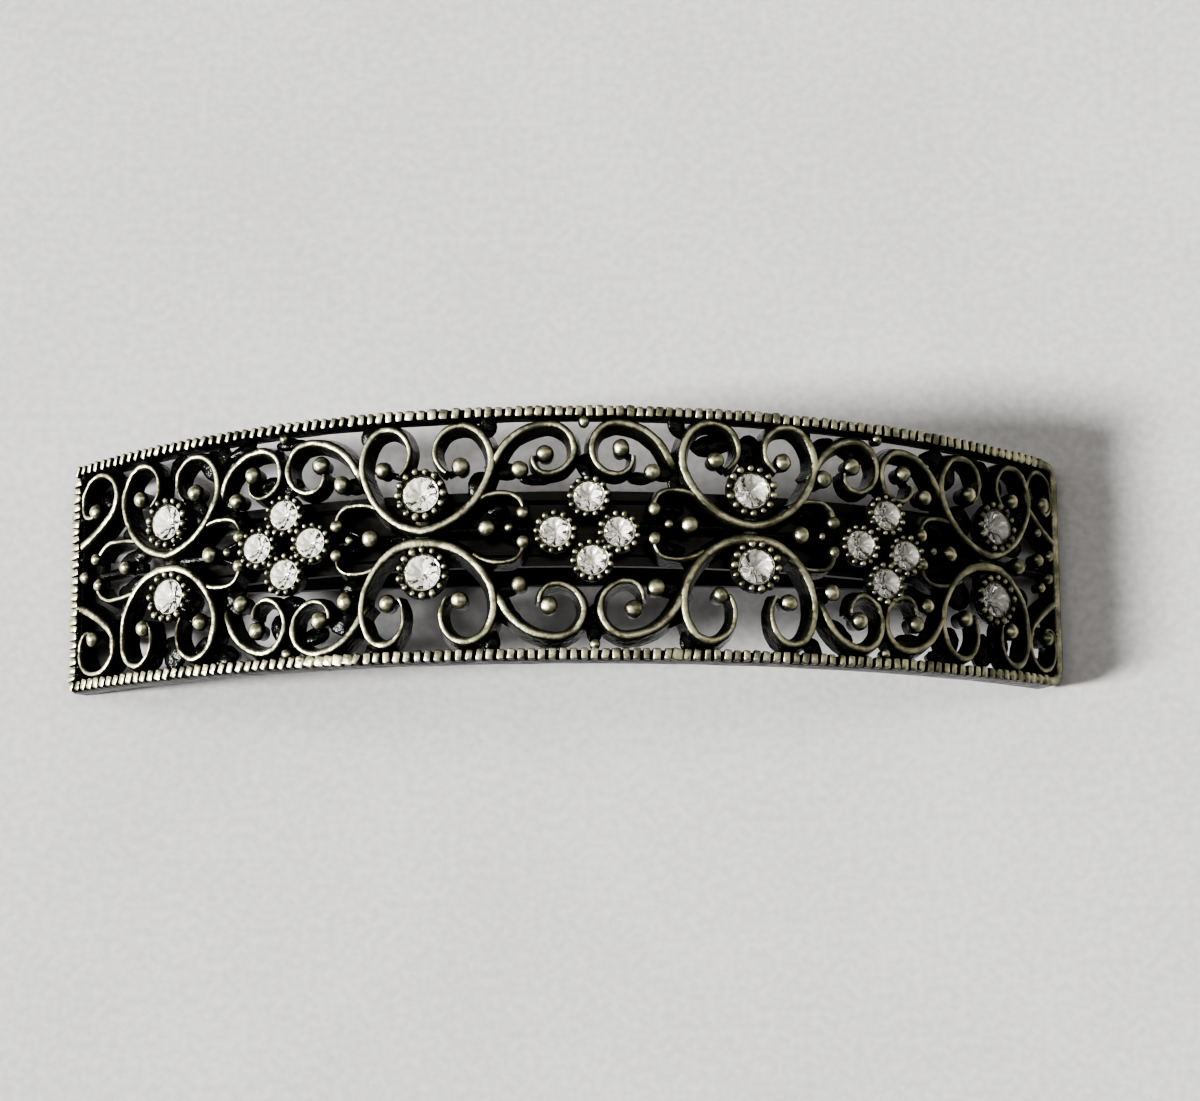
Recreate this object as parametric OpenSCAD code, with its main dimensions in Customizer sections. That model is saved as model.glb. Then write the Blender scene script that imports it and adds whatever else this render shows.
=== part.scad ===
// Rhinestone barrette: a bowed openwork casting with scrolls and cut stones,
// carried by a spring hair clip whose arm hinges at one end.
// The origin is on the table under the middle, X runs along the barrette,
// Y across it, and Z points up through the decorated face.

/* [Plate] */
// Straight distance between the two ends of the bowed plate
plate_chord = 90; // [84:1:96]
// Radius of the bow, measured to the top of the scrollwork
bow_r = 64; // [62:1:72]
// Width of the plate at its middle
plate_w = 22.4; // [22:0.1:23.5]
// How much narrower the plate is at each end
end_taper = 1.4; // [0:0.1:2]
// Depth of the cast metal
metal_t = 1.9; // [1.6:0.1:2.4]
// Width of the ridged rail round the edge
rail_w = 1.05; // [0.8:0.05:1.4]
// How far each side of the rail slopes in, as a part of its width
rail_bevel = 0.14; // [0:0.02:0.3]

/* [Scrollwork] */
// Width of a scroll's ribbon along its stem
ribbon_w = 0.82; // [0.6:0.02:1]
// Width of the ribbon where it curls up
curl_w = 0.58; // [0.4:0.02:0.8]
// Width of the low webs that tie the motifs together
web_w = 0.85; // [0.6:0.05:1.2]
// Depth of the webs' top below the top of the scrolls
web_drop = 0.85; // [0.4:0.05:1.2]

/* [Stones] */
// Radius of the single stones framed by the horn scrolls
station_stone_r = 1.52; // [1.3:0.02:1.7]
// Radius of the four stones of each flower
flower_stone_r = 1.27; // [1.1:0.02:1.4]
// Clearance all round a stone in its cup
stone_gap = 0.06; // [0.03:0.01:0.15]
// Reach of the beaded border round each cup
cup_border = 0.8; // [0.5:0.02:0.9]

/* [Clip] */
// Length of the clip's base bar, along its curve
clip_len = 73; // [66:1:76]
// Width of the clip's base bar
clip_w = 6.6; // [6:0.1:8]
// Sideways offset of the clip under the plate
clip_y = 0.7; // [-1:0.1:1]
// Thickness of the sheet that the clip is pressed from
sheet_t = 0.7; // [0.6:0.05:0.9]
// Radius of the hinge pin
pin_r = 0.6; // [0.5:0.05:0.8]
// Depth of the hinge pin below the base bar
pin_drop = 2.6; // [2.4:0.1:3]
// Height of the arm's rise between the hinge and the catch
arm_rise = 3.1; // [2.5:0.1:4]
// Width of the arm
arm_w = 6; // [5:0.1:6.4]
// Thickness of the tension bar
tension_t = 0.4; // [0.3:0.05:0.6]
// Space between the base bar and the middle of the tension bar
tension_drop = 1.8; // [1.2:0.1:2.2]

/* [Hidden] */

metal_colour = [0.42, 0.41, 0.36];
stone_colour = [0.93, 0.95, 0.97];
clip_colour = [0.55, 0.56, 0.56];

// The bow is a cylinder's surface. Places on it are given as the distance s
// along the curve from the middle, y across, and n above the scrolls' top.
half_angle = asin(plate_chord / 2 / bow_r);
half_arc = bow_r * half_angle * PI / 180;
axis_z = -(bow_r - metal_t) * cos(half_angle);
// The backs of the casting's features step in a little, the rails' back being the deepest
back_n = -metal_t;
ribbon_back = back_n + 0.08;
cup_back = back_n + 0.16;
web_back = back_n + 0.24;

function angle_at(s) = s / bow_r * 180 / PI;
function at(s, y, n) = [(bow_r + n) * sin(angle_at(s)), y, (bow_r + n) * cos(angle_at(s)) + axis_z];
function edge_y(s) = plate_w / 2 - end_taper / 2 * pow(s / half_arc, 2);
function stone_name(i) = str("stone_", i < 10 ? "0" : "", i);
function along(a, b, t) = a + (b - a) * t;

// Paths of arcs: each arc is [radius, turn in degrees], left turns positive.
arc_step = 50;
function arc_end(p, h, arc) =
    let (q = sign(arc[1]) * arc[0])
    p + q * [sin(h + arc[1]) - sin(h), cos(h) - cos(h + arc[1])];
function arc_points(p, h, arcs, i = 0) =
    i == len(arcs) ? [p] :
    let (count = max(1, ceil(abs(arcs[i][1]) / arc_step)))
    concat([for (k = [0 : count - 1]) arc_end(p, h, [arcs[i][0], arcs[i][1] * k / count])],
           arc_points(arc_end(p, h, arcs[i]), h + arcs[i][1], arcs, i + 1));
// A path set at a foot, stretched to a signed width and height
function set_path(path, foot, size) = [for (p = path) foot + [p[0] * size[0], p[1] * size[1]]];

// The four kinds of scroll, drawn once by their arcs and brought to a size of one by one
function unit(path, size) = set_path(path, [0, 0], [1 / size[0], 1 / size[1]]);
function top_right(path) = [max([for (p = path) p[0]]), max([for (p = path) p[1]])];
upper_horn = arc_points([0, 0], 7, [[7.15, 66], [3.75, 57], [2.3, 196]]);
lower_horn = arc_points([0, 0], -4, [[6.25, 66], [3.7, 58], [2.2, 190]]);
upper_unit = unit(upper_horn, top_right(upper_horn));
lower_unit = unit(lower_horn, top_right(lower_horn));
horn_eye = [0.57, 0.61];
corner_size = [6.6, 4.6];
corner_root = [-0.85, -1.2];
corner_arcs = arc_points([0, 0], 66, [[4.9, -63], [2.3, -173], [1.45, -106]]);
corner_unit = unit(concat([corner_root], corner_arcs), corner_size);
corner_eye = [0.6, 0.1];
end_size = [5.3, 6.2];
end_unit = unit(arc_points([0, 0], 19, [[14.3, 20], [2.3, 255], [1.07, 125]]), end_size);

// Stations: each is a pair of ram's horns above and a pair below a knot.
// Columns: foot s, foot y, reach to the left, reach to the right, height, stone s, stone y
HORNS = [
    [-37.8, 0.5, 5.3, 5.5, 8.6, -37.8, 3.5],
    [-38.0, -0.8, 5.0, 5.7, -8.3, -37.4, -3.3],
    [-12.6, 0.4, 5.3, 6.1, 9.2, -12.6, 3.6],
    [-12.6, -0.7, 5.3, 6.4, -8.7, -12.4, -3.3],
    [16.4, 0.9, 6.2, 5.8, 9.0, 16.3, 4.0],
    [16.4, -0.3, 6.2, 5.6, -9.0, 16.6, -2.7],
    [40.6, 0.5, 5.4, 5.1, 8.5, 41.4, 3.2],
    [40.4, -0.6, 5.4, 4.8, -8.6, 41.1, -3.5],
];
// Flowers of four stones. Columns: the s and y of the top, left, right and bottom stones
FLOWERS = [
    [[-25.3, 2.7], [-27.9, 0.0], [-22.7, 0.0], [-25.2, -2.6]],
    [[2.0, 3.1], [-0.9, 0.0], [4.6, 0.0], [2.3, -2.5]],
    [[29.2, 2.8], [26.5, -0.1], [31.1, -0.6], [29.0, -3.3]],
];
// Corner scrolls, two above and two below each flower in the flowers' order.
// Columns: root s, root y, reach along the plate, height across it
CORNERS = [
    [[-31.5, 6.0, 5.7, 4.3], [-18.5, 6.1, -6.5, 4.5], [-30.8, -6.4, 5.6, -4.7], [-18.0, -6.9, -6.3, -4.6]],
    [[-5.9, 6.8, 6.6, 4.4], [8.9, 6.8, -6.6, 4.6], [-5.5, -6.2, 7.0, -4.7], [9.8, -6.0, -6.8, -4.8]],
    [[22.3, 6.3, 6.0, 4.6], [34.6, 5.9, -5.8, 4.4], [22.9, -6.3, 5.6, -4.8], [34.8, -6.1, -5.8, -4.8]],
];
// Balls at the corner scrolls' roots. Columns: s, y
ROOT_BALLS = [
    [[-30.2, 4.5], [-19.9, 5.0], [-29.6, -4.8], [-19.5, -5.4]],
    [[-4.0, 5.6], [7.6, 5.4], [-4.0, -4.5], [7.8, -4.8]],
    [[23.1, 5.6], [33.3, 4.9], [23.7, -4.5], [33.3, -4.9]],
];
// Trefoils of beads between a station and a flower. Columns: s, y, direction
TREFOILS = [
    [-33.0, 0.0, 1],
    [-17.2, 0.0, -1],
    [-6.8, 0.5, 1],
    [10.8, 0.8, -1],
    [20.9, 0.4, 1],
    [36.0, 0.1, -1],
];
// Beads on the rails' inner sides, between the corner scrolls. Columns: s, side
RAIL_BEADS = [[-25.5, 1], [-24.9, -1], [1.6, 1], [2.5, -1], [28.5, 1], [28.8, -1]];
// Beads at the two ends. Columns: s, y, radius
END_BEADS = [
    [-46.8, 1.4, 0.7],
    [-48.3, -0.1, 0.75],
    [-46.4, -1.0, 0.7],
    [-42.9, 0.1, 0.75],
    [44.3, 0.0, 0.85],
    [47.2, 0.3, 0.7],
];

// The two end motifs' upper halves, which are mirrored below
left_scroll_y = 2.7;
left_scroll_eye = [-47.1, 5.9];
left_arm_start = [-46.6, 1.4];
left_arm_arcs = [[2.2, -65], [14, -12]];
right_arm_y = 2.4;
right_arm_heading = 150;
right_arm_arcs = [[5, -55], [2, -60]];
right_stub = [47.4, 6.3];

// A trefoil's parts, measured from its ball towards the flower
small_bead_place = 1.9;
tip_place = [3.1, 1.3];
spine_start = -3.9;
bracket_start = [-1.2, 2.3];
bracket_arcs = [[4.2, -45], [1.45, -90]];

// Straight stretches along each long rail
side_steps = 16;

ball_r = 0.72;
bead_r = 0.56;
small_bead_r = 0.42;
ball_sides = 6;
bead_sides = 6;
recess_sides = 8;
cup_lobes = 8;

// Heights of tops over the scrolls' top: balls and rails stand proud, brackets lie lower
rail_top = 0.25;
ball_top = 0.25;
tip_top = 0.15;
bead_top = 0.1;
arm_top = -0.2;
knot_top = -0.3;

// How much wider a ribbon is at its back than at its top
ribbon_flare = 1.25;
// How far in a cup's border dips between its lobes
lobe_dip = 0.86;
// Size of a bar's end post, along the bar
post_t = 0.2;
knot_w = 1.6;

STATION_STONES = [for (h = HORNS) [h[5], h[6], station_stone_r]];
FLOWER_STONES = [for (f = FLOWERS) each [for (p = f) [p[0], p[1], flower_stone_r]]];
STONES = concat(STATION_STONES, FLOWER_STONES);

// Stone proportions, as parts of its radius
table_part = 0.56;
crown_part = 0.34;
pavilion_part = 0.62;
// Where the crown's facets meet below the table: how far out, and how high up the crown
mains_part = 0.8;
mains_rise = 0.58;
girdle_t = 0.12;
seat_n = -0.12;
cup_top_n = 0.2;

// Radii of the clip's concentric and crossing arcs
plate_gap = 0.1;
base_top_r = bow_r - metal_t - plate_gap;
base_low_r = base_top_r - sheet_t;
clip_angle = clip_len / 2 / base_low_r * 180 / PI;
lip_w = 0.8;
lip_h = 0.35;
lip_slope = 0.3;
rib_y = 1.6;
pin_orbit_r = base_low_r - pin_drop;
pin_inset_angle = 1.2;
pin_angle = clip_angle - pin_inset_angle;
pin_x = pin_orbit_r * sin(pin_angle);
pin_z = pin_orbit_r * cos(pin_angle) + axis_z;
ear_t = 0.7;
ear_gap = 4.4;
ear_r = 1.35;
pin_overhang = 0.2;
tab_w = 1.6;
tab_t = 0.5;
tab_drop = 0.9;
tab_root = 0.1;
knuckle_r = 1.25;
knuckle_w = 4.2;
running_gap = 0.05;
pin_fit = 0.01;
arm_r = (pin_x * pin_x + arm_rise * arm_rise) / (2 * arm_rise);
arm_axis_z = pin_z + arm_rise - arm_r;
arm_start = 3.2;
arm_half_angle = asin((pin_x - arm_start) / arm_r);
tension_end_r = base_low_r - 0.15;
tension_end_angle = clip_angle - 4;
tension_end_x = tension_end_r * sin(tension_end_angle);
tension_end_z = tension_end_r * cos(tension_end_angle) + axis_z;
tension_mid_z = base_low_r + axis_z - tension_drop;
tension_rise = tension_mid_z - tension_end_z;
tension_r = (tension_end_x * tension_end_x + tension_rise * tension_rise) / (2 * tension_rise);
tension_w = 4.6;

// A closed solid through rings that all have the same number of points
module loft(rings) {
    n = len(rings[0]);
    last = len(rings) - 1;
    sides = [for (i = [0 : last - 1], k = [0 : n - 1])
        let (a = i * n + k, b = i * n + (k + 1) % n)
        each [[a, a + n, b + n], [a, b + n, b]]];
    ends = [for (k = [1 : n - 2]) each [[0, k, k + 1], [last * n, last * n + k + 1, last * n + k]]];
    polyhedron(points = [for (r = rings) each r], faces = concat(sides, ends));
}

// Sets children on the bow, upright to its surface
module on_bow(s, y) {
    translate(at(s, y, 0)) rotate([0, angle_at(s), 0]) children();
}

function ring(r, z, sides) =
    [for (k = [0 : sides - 1]) [r * cos(360 * k / sides), r * sin(360 * k / sides), z]];

// A cast ball, given by its place and radius
module ball(s, y, r) {
    foot = [0.6 * r, ball_top - 1.9 * r];
    waist = [r, ball_top - r];
    crown = [0.5 * r, ball_top];
    on_bow(s, y) loft([for (part = [foot, waist, crown]) ring(part[0], part[1], ball_sides)]);
}

// A small bead with a narrower flat top
module bead(s, y, r, top = bead_top) {
    foot_n = -web_drop - 0.3;
    on_bow(s, y) loft([ring(r, foot_n, bead_sides), ring(0.7 * r, top, bead_sides)]);
}

// A ribbon along a path, with the widths of its start, middle and end
module ribbon(path, widths, top = 0, back = ribbon_back) {
    last = len(path) - 1;
    function heading(i) = let (d = path[min(i + 1, last)] - path[max(i - 1, 0)]) d / norm(d);
    function width(t) = t < 0.5 ? along(widths[0], widths[1], 2 * t) : along(widths[1], widths[2], 2 * t - 1);
    loft([for (i = [0 : last])
        let (side = [-heading(i)[1], heading(i)[0]] * width(i / last) / 2,
             wide = side * ribbon_flare,
             a = path[i] + side, b = path[i] - side, c = path[i] - wide, d = path[i] + wide)
        [at(a[0], a[1], top), at(b[0], b[1], top), at(c[0], c[1], back), at(d[0], d[1], back)]]);
}

// A low web between two places, kept short of each by the trim given
module web(p, q, trim_p = 0, trim_q = 0) {
    dir = (q - p) / norm(q - p);
    ribbon([p + dir * trim_p, q - dir * trim_q], [web_w, web_w, web_w], -web_drop, web_back);
}

// A straight bar between two places, as wide across as its posts
module bar(p, q, size, top) {
    hull() for (place = [p, q])
        on_bow(place[0], place[1]) translate([-size[0] / 2, -size[1] / 2, web_back])
            cube([size[0], size[1], top - web_back]);
}

// Two ram's horns drawn as one ribbon, which runs from eye to eye through the foot
module horn_pair(h) {
    foot = [h[0], h[1]];
    left_size = [-h[2], h[4]];
    right_size = [h[3], h[4]];
    half = concat(h[4] > 0 ? upper_unit : lower_unit, [horn_eye]);
    left = set_path(half, foot, left_size);
    right = set_path(half, foot, right_size);
    last = len(left) - 1;
    ribbon(concat([for (i = [last : -1 : 1]) left[i]], right), [curl_w, ribbon_w, curl_w]);
    ball(left[last][0], left[last][1], ball_r);
    ball(right[last][0], right[last][1], ball_r);
}

// A corner scroll with its eye and its root ball
module corner_scroll(c, root_ball) {
    root = [c[0], c[1]];
    path = set_path(concat(corner_unit, [corner_eye]), root, [c[2], c[3]]);
    eye = path[len(path) - 1];
    ribbon(path, [ribbon_w, ribbon_w, curl_w]);
    ball(eye[0], eye[1], ball_r);
    bead(root_ball[0], root_ball[1], ball_r, ball_top);
    web(path[0], root_ball, 0, ball_r / 2);
}

// Distance from a cup's middle at which a bar is well inside its border
function rim(r) = r + stone_gap + cup_border * 0.6;

// A cup with a lobed border and a recess for its stone
module cup(s, y, r) {
    function lobe(k) = (r + stone_gap + cup_border) * (k % 2 == 0 ? 1 : lobe_dip);
    on_bow(s, y) difference() {
        translate([0, 0, cup_back]) linear_extrude(cup_top_n - cup_back)
            polygon([for (k = [0 : 2 * cup_lobes - 1])
                lobe(k) * [cos(k * 180 / cup_lobes), sin(k * 180 / cup_lobes)]]);
        translate([0, 0, seat_n - pavilion_part * r - stone_gap])
            cylinder(r = (r + stone_gap) / cos(180 / recess_sides), h = metal_t + r, $fn = recess_sides);
    }
}

// A trefoil of beads: a ball, a small bead and two tips, each tip held by a bracket arm
module trefoil(s, y, dir, cup_place) {
    ball(s, y, ball_r);
    bead(s + dir * small_bead_place, y, small_bead_r);
    spine_end = [cup_place[0] - dir * rim(flower_stone_r), y];
    bar([s + dir * spine_start, y], spine_end, [post_t, web_w], -web_drop);
    for (side = [-1, 1]) {
        tip = [s, y] + [dir * tip_place[0], side * tip_place[1]];
        arm = set_path(arc_points(bracket_start, 35, bracket_arcs), [s, y], [dir, side]);
        bead(tip[0], tip[1], bead_r, tip_top);
        ribbon(arm, [curl_w, curl_w, curl_w], arm_top);
    }
}

// Four cups whose borders meet
module flower(stones) {
    for (p = stones) cup(p[0], p[1], flower_stone_r);
}

// A rail between an outer and an inner line of places, narrower at its top than at its back
module rail(outer, inner) {
    loft([for (i = [0 : len(outer) - 1])
        let (a = outer[i], b = inner[i], c = along(a, b, rail_bevel), d = along(a, b, 1 - rail_bevel))
        [at(c[0], c[1], rail_top), at(d[0], d[1], rail_top),
         at(b[0], b[1], back_n), at(a[0], a[1], back_n)]]);
}

module rails() {
    for (side = [-1, 1]) {
        s_list = [for (i = [0 : side_steps]) along(-half_arc, half_arc, i / side_steps) * side];
        rail([for (s = s_list) [s, side * edge_y(s)]], [for (s = s_list) [s, side * (edge_y(s) - rail_w)]]);
        end_y = edge_y(half_arc);
        rail([[side * half_arc, side * end_y], [side * half_arc, side * -end_y]],
             [[side * (half_arc - rail_w), side * end_y], [side * (half_arc - rail_w), side * -end_y]]);
    }
}

// The scrolls and beads that fill the two ends, fuller at the left one
module end_motifs() {
    left = -half_arc + rail_w / 2;
    right = half_arc - rail_w / 2;
    for (side = [-1, 1]) {
        mirrored = [1, side];
        eye = set_path([left_scroll_eye], [0, 0], mirrored)[0];
        scroll = set_path(end_unit, [left, side * left_scroll_y], [end_size[0], side * end_size[1]]);
        left_arm = arc_points(left_arm_start, 65, left_arm_arcs);
        right_arm = arc_points([right, right_arm_y], right_arm_heading, right_arm_arcs);
        stub = set_path([[right, right_stub[1]], right_stub], [0, 0], mirrored);
        ribbon(concat(scroll, [eye]), [ribbon_w, ribbon_w, curl_w]);
        ball(eye[0], eye[1], ball_r);
        ribbon(set_path(left_arm, [0, 0], mirrored), [curl_w, curl_w, curl_w], arm_top);
        ribbon(set_path(right_arm, [0, 0], mirrored), [ribbon_w, ribbon_w, curl_w], arm_top / 2);
        web(stub[0], stub[1]);
    }
    for (b = END_BEADS) bead(b[0], b[1], b[2], cup_top_n);
    web([END_BEADS[0][0], 1.8], [END_BEADS[2][0], -1.6]);
    bar([left, 0], [-41.2, 0], [post_t, web_w], -web_drop);
    bar([42.6, 0], [right, 0], [post_t, web_w], -web_drop);
}

module plate() color(metal_colour) {
    rails();
    for (h = HORNS) {
        horn_pair(h);
        cup(h[5], h[6], station_stone_r);
    }
    for (i = [0, 2, 4, 6]) {
        above = HORNS[i];
        below = HORNS[i + 1];
        knot = [[above[0], above[6] - rim(station_stone_r)], [below[0], below[6] + rim(station_stone_r)]];
        bar(knot[0], knot[1], [knot_w, post_t], knot_top);
    }
    for (i = [0 : 2]) {
        flower(FLOWERS[i]);
        for (k = [0 : 3]) corner_scroll(CORNERS[i][k], ROOT_BALLS[i][k]);
        for (k = [0, 1]) {
            t = TREFOILS[2 * i + k];
            trefoil(t[0], t[1], t[2], FLOWERS[i][1 + k]);
        }
    }
    for (b = RAIL_BEADS) bead(b[0], b[1] * (edge_y(b[0]) - rail_w - 0.3), bead_r);
    end_motifs();
}

// A round stone: a flat table, eight crown mains with their stars and halves, a girdle and a point
module stone(r) {
    crown_h = crown_part * r;
    points = concat(
        [[0, 0, -pavilion_part * r]],
        ring(r, 0, 16),
        ring(r, girdle_t, 16),
        [for (k = [0 : 7]) let (a = 45 * k + 22.5)
            [r * mains_part * cos(a), r * mains_part * sin(a), girdle_t + crown_h * mains_rise]],
        ring(r * table_part, girdle_t + crown_h, 8));
    under = [for (k = [0 : 15]) [0, 1 + k, 1 + (k + 1) % 16]];
    girdle = [for (k = [0 : 15])
        let (a = 1 + k, b = 1 + (k + 1) % 16)
        each [[a, a + 16, b + 16], [a, b + 16, b]]];
    crown = [for (k = [0 : 7])
        let (g0 = 17 + 2 * k, g1 = g0 + 1, g2 = 17 + (2 * k + 2) % 16, m = 33 + k, last_m = 33 + (k + 7) % 8,
             t = 41 + k, next_t = 41 + (k + 1) % 8)
        each [[t, next_t, m], [t, g0, last_m], [t, m, g0], [m, g1, g0], [m, g2, g1]]];
    table = [for (k = [1 : 6]) [41, 41 + k + 1, 41 + k]];
    polyhedron(points = points, faces = concat(under, girdle, crown, table));
}

module set_stone(i) {
    color(stone_colour) on_bow(STONES[i][0], STONES[i][1]) translate([0, 0, seat_n]) stone(STONES[i][2]);
}

// Turns a profile of [distance from the axis, place across] round an axis along Y, centred on the top
module arch(axis, half) {
    translate([0, clip_y, axis]) rotate([90, 0, 0]) rotate([0, 0, 90 - half])
        rotate_extrude(angle = 2 * half, $fn = 720) children();
}

// The pressed base bar: a shallow channel with a lip along each edge
module base_bar() {
    arch(axis_z, clip_angle) polygon([
        [base_top_r, -clip_w / 2],
        [base_top_r, -clip_w / 2 + lip_w],
        [base_top_r - lip_h, -clip_w / 2 + lip_w + lip_slope],
        [base_top_r - lip_h, clip_w / 2 - lip_w - lip_slope],
        [base_top_r, clip_w / 2 - lip_w],
        [base_top_r, clip_w / 2],
        [base_low_r, clip_w / 2],
        [base_low_r, -clip_w / 2],
    ]);
}

// A cheek that hangs from the base bar: at the left the hinge's ears, bored for the pin,
// and at the right the catch's plain cheeks
module ear(x_side, y_side) {
    translate([x_side * pin_x, clip_y + y_side * (ear_gap + ear_t) / 2, pin_z])
        rotate([90, x_side * pin_angle, 0])
            translate([0, 0, -ear_t / 2]) linear_extrude(ear_t) difference() {
                union() {
                    circle(r = ear_r, $fn = 48);
                    translate([-ear_r, 0]) square([2 * ear_r, pin_drop + sheet_t / 2]);
                }
                if (x_side < 0) circle(r = pin_r + pin_fit, $fn = 48);
            }
}

// One finger tab of the catch, spread outwards for squeezing it open
module finger_tab(y_side) {
    translate([pin_x, clip_y + y_side * (ear_gap / 2 + ear_t), pin_z]) rotate([0, pin_angle, 0])
        translate([-ear_r, y_side > 0 ? -tab_root : tab_root - tab_w, -tab_drop])
            cube([2 * ear_r, tab_w, tab_t]);
}

module clip_base() color(clip_colour) {
    base_bar();
    for (y_side = [-1, 1]) {
        ear(-1, y_side);
        ear(1, y_side);
        finger_tab(y_side);
    }
}

module tension_bar() color(clip_colour) {
    arch(tension_mid_z - tension_r, asin(tension_end_x / tension_r))
        translate([tension_r - tension_t, -tension_w / 2]) square([tension_t, tension_w]);
}

module hinge_pin() color(clip_colour) {
    translate([-pin_x, clip_y, pin_z]) rotate([90, 0, 0])
        cylinder(r = pin_r, h = ear_gap + 2 * (ear_t + pin_overhang), center = true, $fn = 48);
}

// The arm: a gently arched strip with two lengthwise ribs, a knuckle on the pin and a narrow nose
module clip_arm() color(clip_colour) {
    neck_w = knuckle_w - 0.2;
    neck_t = sheet_t - 0.1;
    low = arm_r - sheet_t / 2;
    difference() {
        union() {
            arch(arm_axis_z, arm_half_angle) polygon([
                [arm_r + sheet_t / 2, -arm_w / 2],
                [arm_r + sheet_t / 2, arm_w / 2],
                [low, arm_w / 2],
                [low, rib_y + lip_w / 2],
                [low - lip_h, rib_y + lip_w / 2],
                [low - lip_h, rib_y - lip_w / 2],
                [low, rib_y - lip_w / 2],
                [low, lip_w / 2 - rib_y],
                [low - lip_h, lip_w / 2 - rib_y],
                [low - lip_h, -rib_y - lip_w / 2],
                [low, -rib_y - lip_w / 2],
                [low, -arm_w / 2],
            ]);
            arch(arm_axis_z, asin(pin_x / arm_r))
                translate([arm_r - neck_t / 2, -neck_w / 2]) square([neck_t, neck_w]);
            translate([-pin_x, clip_y, pin_z]) rotate([90, 0, 0])
                cylinder(r = knuckle_r, h = knuckle_w, center = true, $fn = 48);
        }
        translate([-pin_x, clip_y, pin_z]) rotate([90, 0, 0])
            cylinder(r = pin_r + running_gap, h = knuckle_w + 1, center = true, $fn = 48);
    }
}

plate();
clip_base();
tension_bar();
hinge_pin();
clip_arm();
for (i = [0 : len(STONES) - 1]) set_stone(i);
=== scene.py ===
import math
import random

import bmesh
import bpy
from mathutils import Matrix, Vector


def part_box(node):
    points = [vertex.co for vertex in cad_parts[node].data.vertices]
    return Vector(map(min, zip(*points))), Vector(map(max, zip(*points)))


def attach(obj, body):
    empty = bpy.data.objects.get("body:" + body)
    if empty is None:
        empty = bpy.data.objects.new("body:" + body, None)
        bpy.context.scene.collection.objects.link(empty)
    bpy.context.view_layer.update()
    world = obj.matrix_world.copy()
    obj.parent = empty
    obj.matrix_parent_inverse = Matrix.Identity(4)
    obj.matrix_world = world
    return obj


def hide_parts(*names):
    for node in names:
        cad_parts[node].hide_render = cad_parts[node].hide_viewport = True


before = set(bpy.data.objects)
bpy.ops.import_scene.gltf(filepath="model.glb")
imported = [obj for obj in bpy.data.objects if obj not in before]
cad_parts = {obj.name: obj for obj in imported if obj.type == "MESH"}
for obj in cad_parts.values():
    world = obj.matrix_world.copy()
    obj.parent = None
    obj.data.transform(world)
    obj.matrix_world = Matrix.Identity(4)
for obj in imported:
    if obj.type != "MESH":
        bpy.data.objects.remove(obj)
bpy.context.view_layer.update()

# The rails: the casting's raised edge all round, with fine ridges across it that fade to the right.
# They are cast in one with the scrolls, in a zinc alloy plated dark and rubbed bright on top, and
# are drawn flat, in millimetres along, across and up, and then laid over the bow in metres.
MM = 0.001
BOW_R = 64.0
METAL_T = 1.9
PLATE_W = 22.4
END_TAPER = 1.4
RAIL_W = 1.05
RAIL_TOP = 0.25
plate_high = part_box("plate")[1]
AXIS_Z = plate_high[2] / MM - BOW_R - RAIL_TOP
HALF_ARC = BOW_R * math.asin(plate_high[0] / MM / (BOW_R + RAIL_TOP))
RAIL_BODY_W = 0.92
RAIL_FLARE = 1.08
RAIL_RUNS = 56
CORNER_R = 1.3
CORNER_STEP = 15
GROOVE_N = -0.3
RIDGE_SIZE = (0.84, 1.06, 0.6)
RIDGE_ROUNDING = 0.17
RIDGE_PITCH = 0.88
RIDGE_LENGTH = 0.91
LEFT_MARGIN = 0.5
RIGHT_MARGIN = 1.9
END_PITCH = 0.75
END_RIDGE_W = 1.2
LEFT_TILT = -16.0
LEFT_TILT_TILL = -18.0
TILT = -4.0
TILT_PLAY = 7
TOP_PLAY = 0.05
# The upper rail has shorter ridges at the left, and coarser ones along one stretch
FINE_LENGTH = 0.7
FINE_TILL = -17.0
COARSE_STRETCH = (-14.2, -8.8)
COARSE = 1.18
# Columns: from and to along, and the side of the rail that is rubbed down there
WORN_STRETCHES = ((-24.2, -19.0, -1), (8.9, 10.4, -1))
WORN_DROP = 0.12
WORN_LENGTH = 1.6
# Towards the right end the ridges fade and the rail's own top rises in steps
FADE_FROM = 30.0
FADE_RUN = 17.0
FADE_DROP = 0.2
RISES_FROM = (32.0, 36.0, 40.0)
RISE = 0.1
draw = random.Random(7)


def edge_y(s):
    return PLATE_W / 2 - END_TAPER / 2 * (s / HALF_ARC) ** 2


def let_go():
    if bpy.context.object and bpy.context.object.mode != "OBJECT":
        bpy.ops.object.mode_set(mode="OBJECT")
    bpy.ops.object.select_all(action="DESELECT")


def hold(piece):
    let_go()
    piece.select_set(True)
    bpy.context.view_layer.objects.active = piece


def pick_points(wanted):
    """In edit mode, selects the points whose place is wanted, with their edges and faces."""
    bpy.ops.mesh.select_mode(type="VERT")
    bpy.ops.mesh.select_all(action="DESELECT")
    shape = bmesh.from_edit_mesh(bpy.context.object.data)
    for point in shape.verts:
        point.select = wanted(point.co)
    shape.select_flush(True)
    bmesh.update_edit_mesh(bpy.context.object.data)


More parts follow.
